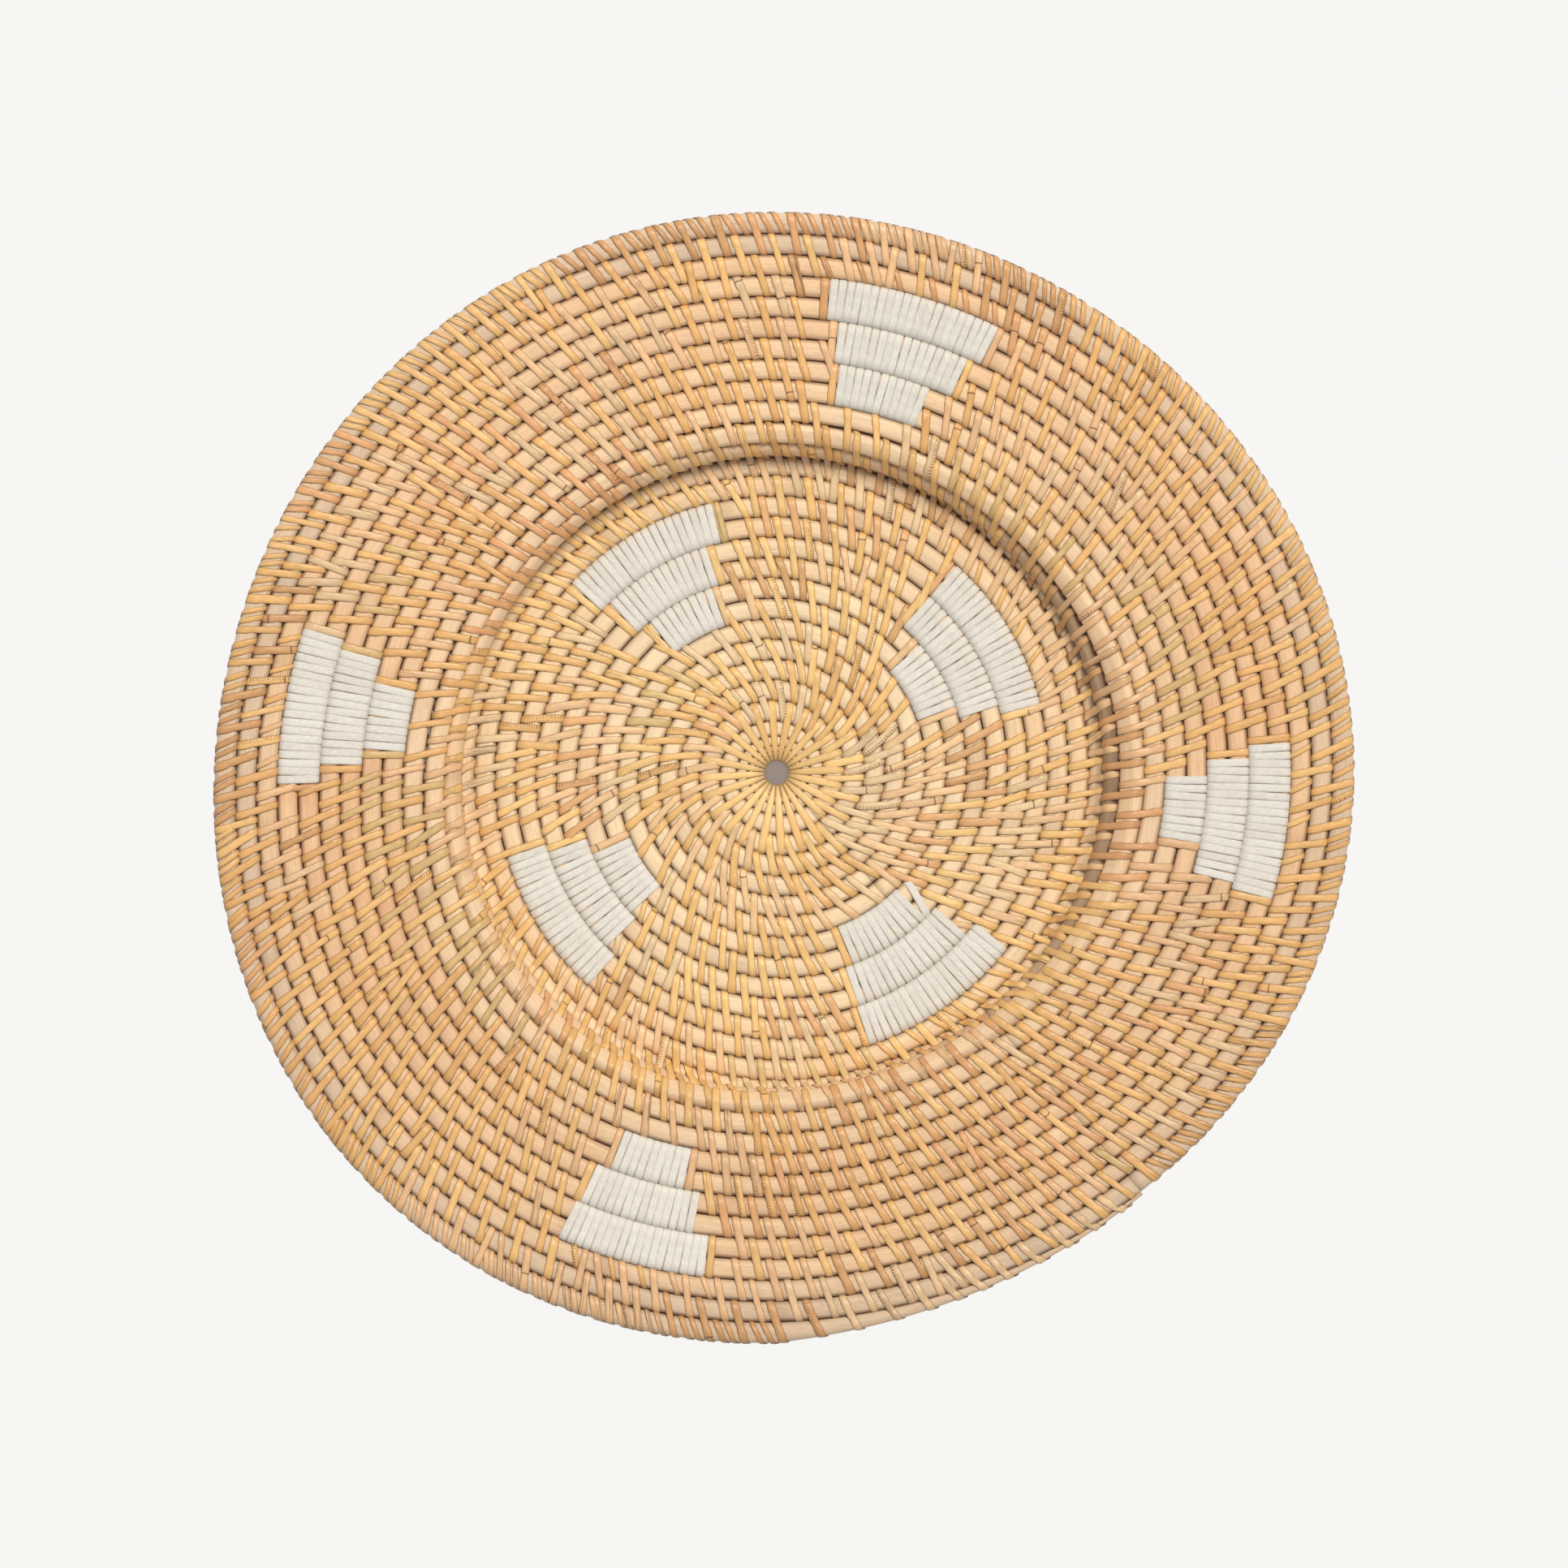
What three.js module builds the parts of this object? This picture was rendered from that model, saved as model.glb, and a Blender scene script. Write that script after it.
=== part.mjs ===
// A coiled rattan tray in millimetres, +Z up, lying face up on its underside.
// One cane core winds anticlockwise from a small hole, flat for the well, upright for the wall
// and flat again for the brim. White cord is wound round pairs of turns in eight motifs.
// The core is cut once per turn at the bearing where its tail ends, so each turn is a piece.

import * as THREE from 'three';

// The spiral. A turn number counts whole turns outward: 0 is where the core reaches full size.
const startTurns = 5;
const floorTurns = 13;
const wallTurns = 2;
const rimTurns = 11;
const tailTurn = floorTurns + wallTurns + rimTurns;
const tailBearing = -49; // degrees from +X, where the core ends
const floorPitch = 7.36;
const rimPitch = 7.48;
const firstRadius = 19.56; // centre of the core at turn 0

// The wall: turns stack almost upright between a ramp up and a ramp down of one turn each.
const wallSteepness = 0.97; // sine of the angle at which one turn stands on the last
const rimRise = 0.044; // the brim climbs this share of a pitch per turn
const rimStart = floorTurns + wallTurns;

// The core's section and the clearances round it.
const coreShare = 0.788; // radial width as a share of the space that a turn takes
const coreHeight = 6.4;
const startTaper = { width: 0.48, height: 0.25 }; // rates per turn at which the start thins inward
const coreMidHeight = 3.8;
const tailTaper = { from: tailTurn - 0.114, rate: 1.7 };
const endGap = 0.3;
const coreTopShare = 0.5; // width of the section's flat top as a share of its full width

// The brim is not quite round: [lobes, size, bearing of a high point] of each swelling.
const rimSwellings = [[1, 4.48, -27.5], [2, 2.11, 19], [3, 1.96, -8.8]];
const swellFrom = floorTurns;
const swellTo = floorTurns + 2.5;

// White cord bands. Each wraps two turns; bearings are clockwise from +Y.
const cordWidth = 2.87;
const cordThickness = 0.35;
const cordGap = 0.25;
const cordTopShares = { outside: 0.77, inside: 0.775 };
const bandNames = ['outer', 'middle', 'inner'];
const rings = {
  rim: {
    lowerTurns: [21, 19, 17],
    motifs: [
      { name: 'top', at: [16.4, 16.4, 15.3], wraps: [21, 16, 11] },
      { name: 'right', at: [95.5, 95.8, 95], wraps: [19, 15, 8] },
      { name: 'bottom', at: [196.7, 197.5, 197.8], wraps: [18, 14, 9] },
      { name: 'left', at: [277.9, 278.5, 278], wraps: [19, 14, 8] },
    ],
  },
  well: {
    lowerTurns: [9, 7, 5],
    motifs: [
      { name: 'top', at: [58.1, 57.1, 58.9], wraps: [19, 15, 8] },
      { name: 'right', at: [144.1, 145.4, 144.9], wraps: [20, 15, 11] },
      { name: 'bottom', at: [237.1, 237.5, 236.1], wraps: [18, 13, 8] },
      { name: 'left', at: [329.6, 329.1, 330.2], wraps: [19, 13, 8] },
    ],
  },
};

// The cane binding through the centre hole: a spool with a star-shaped flange on each face.
const holeRadius = 4.6;
const bindingThickness = 0.35;
const bindingPoints = 24;
const bindingRadii = [25, 30];

// Facets round one turn: the small inner turns need fewer.
const facets = { start: 12, inner: 20, outer: 36 };
const innerTurns = 5;

const looks = {
  core: { color: 0xe6c394, roughness: 0.6 },
  cane: { color: 0xdcb070, roughness: 0.55 },
  cord: { color: 0xe9e6dd, roughness: 0.75 },
};

const { cos, sin, sqrt, exp, floor, PI } = Math;
const degrees = PI / 180;
const smooth = (x, from, to) => THREE.MathUtils.smoothstep(x, from, to);
const lerp = THREE.MathUtils.lerp;

const bearingOf = (turn) => (tailBearing + 360 * (turn - tailTurn)) * degrees;

// How far up, as a share of a pitch, a turn stands on the turn before it.
function lift(turn) {
  const ramp = smooth(turn, floorTurns, floorTurns + 1) - smooth(turn, rimStart, rimStart + 1);
  return wallSteepness * ramp + rimRise * smooth(turn, rimStart, rimStart + 1);
}

const pitchAt = (turn) => lerp(floorPitch, rimPitch, smooth(turn, floorTurns, floorTurns + 1));

// The radial space that the core takes, and its height: it starts thin and thickens to full size.
const spaceAt = (turn) => floorPitch * exp(startTaper.width * Math.min(0, turn));
const heightAt = (turn) => coreHeight * exp(startTaper.height * Math.min(0, turn));

// Share of its full size that the core keeps as it thins to its tail.
function tailShare(turn) {
  const along = Math.max(0, turn - tailTaper.from);
  return exp(-tailTaper.rate * along / (tailTurn - tailTaper.from));
}

// Centre radius and height of the core, each turn laid against the one before it.
function layTurn(turn) {
  if (turn < 0) {
    const outside = layTurn(turn + 1);
    const radius = outside.radius - (spaceAt(turn) + spaceAt(turn + 1)) / 2;
    return { radius, height: coreMidHeight };
  }
  if (turn <= floorTurns) return { radius: firstRadius + floorPitch * turn, height: coreMidHeight };
  const inside = layTurn(turn - 1);
  const rise = lift(turn);
  const pitch = pitchAt(turn);
  return {
    radius: inside.radius + pitch * sqrt(1 - rise * rise),
    height: inside.height + pitch * rise,
  };
}

function swelling(turn) {
  const bearing = bearingOf(turn);
  const lobes = rimSwellings.map(([count, size, high]) => size * cos(count * (bearing - high * degrees)));
  return lobes.reduce((sum, lobe) => sum + lobe, 0) * smooth(turn, swellFrom, swellTo);
}

function coreAt(turn) {
  const { radius, height } = layTurn(turn);
  return { radius: radius + swelling(turn), height };
}

const facetsAt = (turn) => (turn < 0 ? facets.start : turn < innerTurns ? facets.inner : facets.outer);

// The facet edges strictly between two turn numbers, with both ends added.
function stationsBetween(from, to) {
  const count = facetsAt(from);
  const stations = [from];
  for (let edge = floor(from * count) + 1; edge < to * count - 1e-6; edge++) {
    if (edge / count > from + 1e-6) stations.push(edge / count);
  }
  return [...stations, to];
}

// A point of the faceted spiral: it lies on the chord between the facet edges on either side.
function onFacet(turn, place) {
  const count = facetsAt(turn);
  const edge = floor(turn * count + 1e-6) / count;
  const share = (turn - edge) * count;
  const start = place(edge);
  return share < 1e-4 ? start : start.lerp(place(edge + 1 / count), share);
}

function polar(bearing, radius, height) {
  return new THREE.Vector3(radius * cos(bearing), radius * sin(bearing), height);
}

// Extrudes a section straight and then lays it along the spiral. The stations run backwards,
// so that x outward and y up keep the faces looking out.
function bendSection(section, from, to, place) {
  const stations = stationsBetween(from, to).reverse();
  const steps = stations.length - 1;
  const geometry = new THREE.ExtrudeGeometry(section, { depth: steps, steps, bevelEnabled: false });
  const position = geometry.getAttribute('position');
  for (let i = 0; i < position.count; i++) {
    const turn = stations[Math.round(position.getZ(i))];
    const point = onFacet(turn, (edge) => place(edge, position.getX(i), position.getY(i)));
    position.setXYZ(i, point.x, point.y, point.z);
  }
  geometry.computeVertexNormals();
  return geometry;
}

// A hexagon with flat top and bottom, given by half its width and half its height.
function hexagon(halfWidth, halfHeight, topWidth, Outline = THREE.Shape) {
  const corners = [[1, 0], [topWidth, 1], [-topWidth, 1], [-1, 0], [-topWidth, -1], [topWidth, -1]];
  return new Outline(corners.map(([x, y]) => new THREE.Vector2(x * halfWidth, y * halfHeight)));
}

// One turn of the core. The section is a unit hexagon that is scaled to the core's local size.
function coreTurn(from) {
  const halfGap = endGap / 2 / (2 * PI * coreAt(from + 0.5).radius);
  const isLast = from + 1 === tailTurn;
  const to = isLast ? tailTurn : from + 1 - halfGap;
  return bendSection(hexagon(1, 1, coreTopShare), from + halfGap, to, (turn, x, y) => {
    const { radius, height } = coreAt(turn);
    const share = turn > tailTaper.from ? tailShare(turn) : 1;
    const halfWidth = spaceAt(turn) * coreShare / 2;
    return polar(
      bearingOf(turn),
      radius + (x * share - (1 - share)) * halfWidth,
      height + y * sqrt(share) * heightAt(turn) / 2,
    );
  });
}

// A band of white cord: an oval tube round the turn and the next one outward.
function cordBand(lowerTurn, clockwiseBearing, wraps) {
  const bearing = 90 - clockwiseBearing;
  const middle = lowerTurn + THREE.MathUtils.euclideanModulo(bearing - tailBearing, 360) / 360;
  const pairRadius = (coreAt(middle).radius + coreAt(middle + 1).radius) / 2;
  const half = wraps * cordWidth / 2 / (2 * PI * pairRadius);
  const pitch = coreAt(middle + 1).radius - coreAt(middle).radius;
  const innerWidth = (pitch + floorPitch * coreShare) / 2 + cordGap;
  const innerHeight = coreHeight / 2 + cordGap;
  const section = hexagon(innerWidth + cordThickness, innerHeight + cordThickness, cordTopShares.outside);
  section.holes.push(hexagon(innerWidth, innerHeight, cordTopShares.inside, THREE.Path));
  return bendSection(section, middle - half, middle + half, (turn, x, y) => {
    const lower = coreAt(turn);
    const upper = coreAt(turn + 1);
    const slope = (upper.height - lower.height) / (upper.radius - lower.radius);
    return polar(
      bearingOf(turn),
      (lower.radius + upper.radius) / 2 + x,
      (lower.height + upper.height) / 2 + x * slope + y,
    );
  });
}

function centreBinding() {
  const top = 2 * coreMidHeight;
  const [inner, outer] = bindingRadii;
  const hub = holeRadius + bindingThickness;
  const profile = [
    [holeRadius, 0], [outer, 0], [outer, bindingThickness], [hub, bindingThickness],
    [hub, top - bindingThickness], [outer, top - bindingThickness], [outer, top], [holeRadius, top],
    [holeRadius, 0],
  ];
  const points = profile.map(([radius, height]) => new THREE.Vector2(radius, height));
  const geometry = new THREE.LatheGeometry(points, 2 * bindingPoints);
  geometry.rotateX(PI / 2);
  const position = geometry.getAttribute('position');
  for (let i = 0; i < position.count; i++) {
    const radius = Math.hypot(position.getX(i), position.getY(i));
    const step = Math.round(Math.atan2(position.getY(i), position.getX(i)) / (PI / bindingPoints));
    const share = radius > (hub + inner) / 2 && step % 2 !== 0 ? inner / outer : 1;
    position.setX(i, position.getX(i) * share);
    position.setY(i, position.getY(i) * share);
  }
  return geometry;
}

const tray = new THREE.Group();

function addPiece(name, geometry, look) {
  const mesh = new THREE.Mesh(geometry, new THREE.MeshStandardMaterial({ ...look, metalness: 0 }));
  mesh.name = name;
  tray.add(mesh);
}

const numbered = (name, number) => `${name}_${String(number).padStart(2, '0')}`;

for (let i = 0; i < startTurns; i++) {
  addPiece(numbered('start_turn', i + 1), coreTurn(i - startTurns), looks.core);
}
for (let i = 0; i < tailTurn; i++) {
  const name = i < floorTurns ? numbered('floor_turn', i + 1)
    : i < rimStart ? numbered('wall_turn', i - floorTurns + 1)
      : numbered('rim_turn', i - rimStart + 1);
  addPiece(name, coreTurn(i), looks.core);
}
for (const [ringName, ring] of Object.entries(rings)) {
  for (const motif of ring.motifs) {
    bandNames.forEach((bandName, i) => {
      const band = cordBand(ring.lowerTurns[i], motif.at[i], motif.wraps[i]);
      addPiece(`cord_${ringName}_${motif.name}_${bandName}`, band, looks.cord);
    });
  }
}
addPiece('centre_binding', centreBinding(), looks.cane);

// The origin is under the middle of the tray's outline, on the surface that it rests on.
const middleOfOutline = new THREE.Box3().setFromObject(tray).getCenter(new THREE.Vector3());
tray.position.set(-middleOfOutline.x, -middleOfOutline.y, 0);

export default tray;
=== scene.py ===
# A coiled rattan tray: one cane core wound in a spiral, stitched turn to turn with split cane,
# with white cord wound round pairs of turns in eight motifs.

import math

import bpy
import numpy as np
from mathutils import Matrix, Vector


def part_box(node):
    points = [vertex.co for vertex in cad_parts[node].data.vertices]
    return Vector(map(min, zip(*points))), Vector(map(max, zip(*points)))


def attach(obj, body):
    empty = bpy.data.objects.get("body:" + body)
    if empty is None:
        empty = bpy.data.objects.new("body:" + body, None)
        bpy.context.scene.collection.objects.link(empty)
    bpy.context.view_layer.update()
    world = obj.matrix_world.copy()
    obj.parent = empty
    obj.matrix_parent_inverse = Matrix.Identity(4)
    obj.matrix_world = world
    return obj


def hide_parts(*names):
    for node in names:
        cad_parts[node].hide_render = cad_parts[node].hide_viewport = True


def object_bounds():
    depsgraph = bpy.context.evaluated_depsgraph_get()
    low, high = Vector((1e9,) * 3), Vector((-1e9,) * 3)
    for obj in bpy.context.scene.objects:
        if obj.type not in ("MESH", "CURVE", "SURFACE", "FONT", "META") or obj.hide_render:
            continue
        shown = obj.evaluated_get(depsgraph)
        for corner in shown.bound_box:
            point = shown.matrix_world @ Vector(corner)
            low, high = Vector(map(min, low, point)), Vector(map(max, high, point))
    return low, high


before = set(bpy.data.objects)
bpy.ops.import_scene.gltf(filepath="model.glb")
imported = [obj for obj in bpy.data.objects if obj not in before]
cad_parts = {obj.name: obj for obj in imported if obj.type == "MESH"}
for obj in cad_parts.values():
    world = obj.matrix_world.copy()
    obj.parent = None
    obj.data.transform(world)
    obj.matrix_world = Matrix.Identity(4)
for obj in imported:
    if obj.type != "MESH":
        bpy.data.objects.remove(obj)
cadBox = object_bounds()
mm = 0.001

poleLow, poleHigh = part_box("centre_binding")
pole = np.array((poleLow + poleHigh) / 2) / mm  # the point that the spiral winds round
trayLow, trayHigh = [np.array(corner) for corner in cadBox]
trayMiddle = (trayLow + trayHigh) / 2


def linearColour(hexCode):
    channels = [int(hexCode[i:i + 2], 16) / 255 for i in (1, 3, 5)]
    return np.array([c / 12.92 if c <= 0.04045 else ((c + 0.055) / 1.055) ** 2.4 for c in channels])


def smooth(x, start, end):
    share = np.clip((x - start) / (end - start), 0, 1)
    return share * share * (3 - 2 * share)


def wander(x, step, seed):  # a smooth random curve between -1 and 1 with a knot at every step
    knots = np.random.default_rng(seed).uniform(-1, 1, 4096)
    place = np.asarray(x) / step + 128
    low = np.floor(place).astype(int)
    share = place - low
    share = share * share * (3 - 2 * share)
    return knots[low % 4096] * (1 - share) + knots[(low + 1) % 4096] * share


# camera and light, in metres and degrees

view = {
    "lens": 200.0,
    "sensor": 36.0,
    "frameWidth": 0.5622,
    "aimX": 0.0,
    "aimY": -0.0024,
    "aimHeight": 0.022,
}
light = {
    "fromTop": 24.0,  # degrees clockwise from the top of the frame
    "elevation": 60.0,
    "spread": 22.0,
    "strength": 2.45,
    "colour": "#FFF8EE",
    "sky": 0.46,
    "skyColour": "#F4F6FF",
    "background": "#F7F6F4",
}


def makeCamera():
    camera = bpy.data.objects.new("camera", bpy.data.cameras.new("camera"))
    bpy.context.scene.collection.objects.link(camera)
    camera.data.lens = view["lens"]
    camera.data.sensor_width = view["sensor"]
    camera.data.clip_start = 0.01
    camera.data.clip_end = 100
    away = view["frameWidth"] * view["lens"] / view["sensor"]
    camera.location = (
        trayMiddle[0] + view["aimX"], trayMiddle[1] + view["aimY"], view["aimHeight"] + away,
    )
    bpy.context.scene.camera = camera


def makeLight():
    sun = bpy.data.objects.new("sun", bpy.data.lights.new("sun", "SUN"))
    bpy.context.scene.collection.objects.link(sun)
    sun.data.energy = light["strength"]
    sun.data.angle = math.radians(light["spread"])
    sun.data.color = linearColour(light["colour"])
    around = math.radians(90 - light["fromTop"])
    rise = math.radians(light["elevation"])
    toSun = Vector((math.cos(rise) * math.cos(around), math.cos(rise) * math.sin(around), math.sin(rise)))
    sun.rotation_euler = toSun.to_track_quat("Z", "Y").to_euler()
    world = bpy.data.worlds.new("sky")
    bpy.context.scene.world = world
    world.use_nodes = True
    nodes, links = world.node_tree.nodes, world.node_tree.links
    nodes.clear()
    path = nodes.new("ShaderNodeLightPath")
    mix = nodes.new("ShaderNodeMixShader")
    output = nodes.new("ShaderNodeOutputWorld")
    links.new(path.outputs["Is Camera Ray"], mix.inputs["Fac"])
    for i, code, strength in ((1, light["skyColour"], light["sky"]), (2, light["background"], 1.0)):
        background = nodes.new("ShaderNodeBackground")
        background.inputs["Color"].default_value = (*linearColour(code), 1)
        background.inputs["Strength"].default_value = strength
        links.new(background.outputs[0], mix.inputs[i])
    links.new(mix.outputs[0], output.inputs["Surface"])


makeCamera()
makeLight()
bpy.context.scene.view_settings.view_transform = "Standard"
print("the camera and the light are in place")

# the spiral: lengths in mm, a turn number counts whole turns outward from full size

spiral = {
    "startTurns": 5,
    "floorTurns": 13,
    "tailTurn": 26,
    "tailBearing": -49.0,
    "floorPitch": 7.36,
    "rimPitch": 7.48,
    "firstRadius": 19.56,
    "wallSteepness": 0.97,
    "rimRise": 0.044,
    "rimStart": 15,
    "midHeight": 3.8,
    "thinning": (0.48, 0.25),  # rates per turn for width and height, inside turn 0
    "tailFrom": 26 - 0.114,
    "tailRate": 1.7,
    "swellings": ((1, 4.48, -27.5), (2, 2.11, 19.0), (3, 1.96, -8.8)),
    "swellEnd": 15.5,
}


def bearingOf(turn):
    return np.radians(spiral["tailBearing"]) + 2 * np.pi * (turn - spiral["tailTurn"])


def liftOf(turn):
    rampUp = smooth(turn, spiral["floorTurns"], spiral["floorTurns"] + 1)
    rampDown = smooth(turn, spiral["rimStart"], spiral["rimStart"] + 1)
    return spiral["wallSteepness"] * (rampUp - rampDown) + spiral["rimRise"] * rampDown


def pitchOf(turn):
    share = smooth(turn, spiral["floorTurns"], spiral["floorTurns"] + 1)
    return spiral["floorPitch"] + (spiral["rimPitch"] - spiral["floorPitch"]) * share


def thinned(turn, rate, tailRate):  # the core's width or height as a share of full size
    tail = np.maximum(0, turn - spiral["tailFrom"]) / (spiral["tailTurn"] - spiral["tailFrom"])
    return np.exp(rate * np.minimum(0, turn) - tailRate * tail)


def widthShare(turn):
    return thinned(turn, spiral["thinning"][0], spiral["tailRate"])


def heightShare(turn):
    return thinned(turn, spiral["thinning"][1], spiral["tailRate"] / 2)


def coreAt(turn):  # radius and height of the middle of the core
    turn = np.asarray(turn, float)
    inward = np.ceil(np.maximum(0, turn - spiral["floorTurns"]))
    outward = np.ceil(np.maximum(0, -turn))
    start = turn - inward + outward
    radius = spiral["firstRadius"] + spiral["floorPitch"] * start
    height = np.full_like(radius, spiral["midHeight"])
    for step in range(int(inward.max(initial=0))):
        here = start + step + 1
        used = step < inward
        lift = liftOf(here)
        radius = radius + used * pitchOf(here) * np.sqrt(1 - lift * lift)
        height = height + used * pitchOf(here) * lift
    for step in range(int(outward.max(initial=0))):
        here = start - step - 1
        space = spiral["floorPitch"] * (widthShare(here) + widthShare(here + 1)) / 2
        radius = radius - (step < outward) * space
    bearing = bearingOf(turn)
    grown = smooth(turn, spiral["floorTurns"], spiral["swellEnd"])
    for count, size, high in spiral["swellings"]:
        radius = radius + grown * size * np.cos(count * (bearing - np.radians(high)))
    return radius, height


def turnLength(turn):  # mm round one turn
    return 2 * np.pi * coreAt(turn)[0]


# the core's rounded section and its colours

core = {
    "halfShare": 0.509,  # half the core's width as a share of the pitch, so that turns just touch
    "halfHeight": 3.2,
    "squareness": 3.0,  # 2 is an ellipse
    "stationStep": 3.0,
    "fewestStations": 24,
    "tailStations": 60,
    "ringPoints": 24,
    "gather": 0.1,  # draws the ring's points toward its four shoulders
    "drift": 0.05,
    "driftStep": 38.0,
    "cream": "#F8DDB4",
    "peach": "#F3CFA2",
    "orange": "#E5AE7C",
    "grey": "#DCC8AB",
    "brown": "#A67E58",
    "creviceFrom": (0.74, 0.93),  # cosine of the angle from where two turns touch
    "creviceShade": 0.97,
    "grainSeed": 3.7,
    # painted shade: the deep brown the core darkens to where two turns touch
    "paintedCreviceShade": "#4E250E",
    # painted shade: the grey-brown of the wall turn along the right side, turned from the light
    "wallShadeGrey": "#A48C72",
    "rimTone": (0.94, 0.88, 0.86),
    # painted shade: how far the rim darkens toward the bottom of the frame and lightens toward the top
    "rimShadeSway": 0.06,
    "rimToneFrom": (12.5, 15.0),
}


tone = {  # where along the core the colours change: spans in turns, bearings in degrees
    "warmth": 0.25,
    "warmer": ((5, 11, 0.5), (13.5, 15, -0.6), (16.5, 18.5, 0.55)),  # from, to, change
    "warmWander": ((120.0, 0.35, 21), (25.0, 0.15, 22)),  # mm, share, seed
    "glowBearing": 10,
    "glowSpan": (16.5, 18, 22, 24),
    "fading": 0.75,
    "fadeSpan": (23.4, 24.4),
    "staining": 1.25,
    "stainFrom": 0.72,
    "wallShadeBearing": -5,
    "wallShading": 0.8,
    "wallShadeSpan": (13.7, 13.9, 14.4, 14.6),
    "wallSpan": (12.4, 12.8, 15.2, 16.0),
    "wallRelief": 0.8,  # how much paler the crevices are on the lit side of the wall
    "shadedBearing": 75,
}


def spanAt(turn):  # from the middle of the core to its middle one turn further out
    innerRadius, innerHeight = coreAt(turn)
    outerRadius, outerHeight = coreAt(turn + 1)
    return np.hypot(outerRadius - innerRadius, outerHeight - innerHeight)


def halfWidthAt(turn):
    outward = np.minimum(np.maximum(turn, 0), spiral["tailTurn"] - 1)
    span = (spanAt(np.maximum(turn - 1, 0)) + spanAt(outward)) / 2
    return core["halfShare"] * span * widthShare(turn)


def tilt(turn):  # how far the section leans as the turns climb the wall
    return (np.arcsin(liftOf(turn)) + np.arcsin(liftOf(turn + 1))) / 2


def sectionRadius(turn, angle):  # distance from the core's middle to its surface in one direction
    local = angle - tilt(turn)
    power = core["squareness"]
    across = np.abs(np.cos(local)) / halfWidthAt(turn)
    upward = np.abs(np.sin(local)) / (core["halfHeight"] * heightShare(turn))
    return (across ** power + upward ** power) ** (-1 / power)


def coreMiddle(turn):  # radius and height, with the core's small natural drift and its thinning tail
    radius, height = coreAt(turn)
    shift = np.where(turn > 0, (widthShare(turn) - 1) * core["halfShare"] * spiral["rimPitch"], 0)
    along = np.maximum(turn, 0) ** 2 * np.pi * spiral["floorPitch"]
    along = along + turn * 2 * np.pi * spiral["firstRadius"]
    sway = core["drift"] * wander(along, core["driftStep"], 11) * smooth(turn, 0, 2)
    bob = core["drift"] * wander(along, core["driftStep"], 12) * smooth(turn, 0, 2)
    return radius + shift + sway, height + bob


def place(turn, radius, height):  # a point in mm from its turn number, radius and height
    bearing = bearingOf(turn)
    return np.stack([pole[0] + radius * np.cos(bearing), pole[1] + radius * np.sin(bearing), height], -1)


def sweepFaces(points, closed):  # points: (sweeps, stations, ring, 3)
    sweeps, stations, ring = points.shape[:3]
    index = np.arange(sweeps * stations * ring).reshape(sweeps, stations, ring)
    around = np.roll(index, -1, axis=2)
    ahead, aheadAround = np.roll(index, -1, axis=1), np.roll(around, -1, axis=1)
    last = stations if closed else stations - 1
    quads = np.stack([index, around, aheadAround, ahead], -1)[:, :last].reshape(-1, 4)
    caps = np.zeros((0, ring), int) if closed else np.concatenate([index[:, 0, ::-1], index[:, -1]])
    corners = points.reshape(-1, 3)[quads]
    middle = corners.mean((0, 1))
    normals = np.cross(corners[:, 2] - corners[:, 0], corners[:, 3] - corners[:, 1])
    volume = ((corners.mean(1) - middle) * normals).sum()
    if volume < 0:
        quads, caps = quads[:, ::-1], caps[:, ::-1]
    return [quads, caps]


attributeKinds = {1: ("FLOAT", "value"), 3: ("FLOAT_VECTOR", "vector"), 4: ("FLOAT_COLOR", "color")}


def withAlpha(colour, shape):
    return np.concatenate([np.broadcast_to(colour, (*shape, 3)), np.ones((*shape, 1))], -1)


def grainOf(along, across, seed, shape):  # mm along the fibre, mm across it and a seed
    return np.stack([np.broadcast_to(part, shape) for part in (along, across, seed)], -1)


def addPiece(name, points, faces, material, values, replaced=()):
    mesh = bpy.data.meshes.new(name)
    vertices = points.reshape(-1, 3) * mm
    mesh.vertices.add(len(vertices))
    mesh.vertices.foreach_set("co", vertices.astype(np.float32).ravel())
    loops = np.concatenate([group.ravel() for group in faces])
    sizes = np.concatenate([np.full(len(group), group.shape[1]) for group in faces])
    mesh.loops.add(len(loops))
    mesh.loops.foreach_set("vertex_index", loops.astype(np.int32))
    mesh.polygons.add(len(sizes))
    starts = np.concatenate([[0], np.cumsum(sizes)[:-1]])
    mesh.polygons.foreach_set("loop_start", starts.astype(np.int32))
    mesh.polygons.foreach_set("use_smooth", sizes == 4)
    mesh.update(calc_edges=True)
    for key, value in values.items():
        width = value.shape[-1] if value.ndim == points.ndim else 1
        kind, field = attributeKinds[width]
        attribute = mesh.attributes.new(key, kind, "POINT")
        attribute.data.foreach_set(field, value.astype(np.float32).ravel())
    mesh.materials.append(material)
    piece = bpy.data.objects.new(name, mesh)
    bpy.context.scene.collection.objects.link(piece)
    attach(piece, "root")
    for node in replaced:
        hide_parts(node)
    return piece


def newGroup(name, inputs, outputs):  # takes a vector and numbers, gives numbers
    group = bpy.data.node_groups.new(name, "ShaderNodeTree")
    group.interface.new_socket("Vector", in_out="INPUT", socket_type="NodeSocketVector")
    for socketName, default in inputs.items():
        socket = group.interface.new_socket(socketName, in_out="INPUT", socket_type="NodeSocketFloat")
        socket.default_value = default
    for socketName in outputs:
        group.interface.new_socket(socketName, in_out="OUTPUT", socket_type="NodeSocketFloat")
    return group, group.nodes.new("NodeGroupInput"), group.nodes.new("NodeGroupOutput")


def addMath(tree, operation, a, b=0.0):
    node = tree.nodes.new("ShaderNodeMath")
    node.operation = operation
    for i, value in enumerate((a, b)):
        if isinstance(value, (int, float)):
            node.inputs[i].default_value = value
        else:
            tree.links.new(value, node.inputs[i])
    return node.outputs[0]


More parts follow.
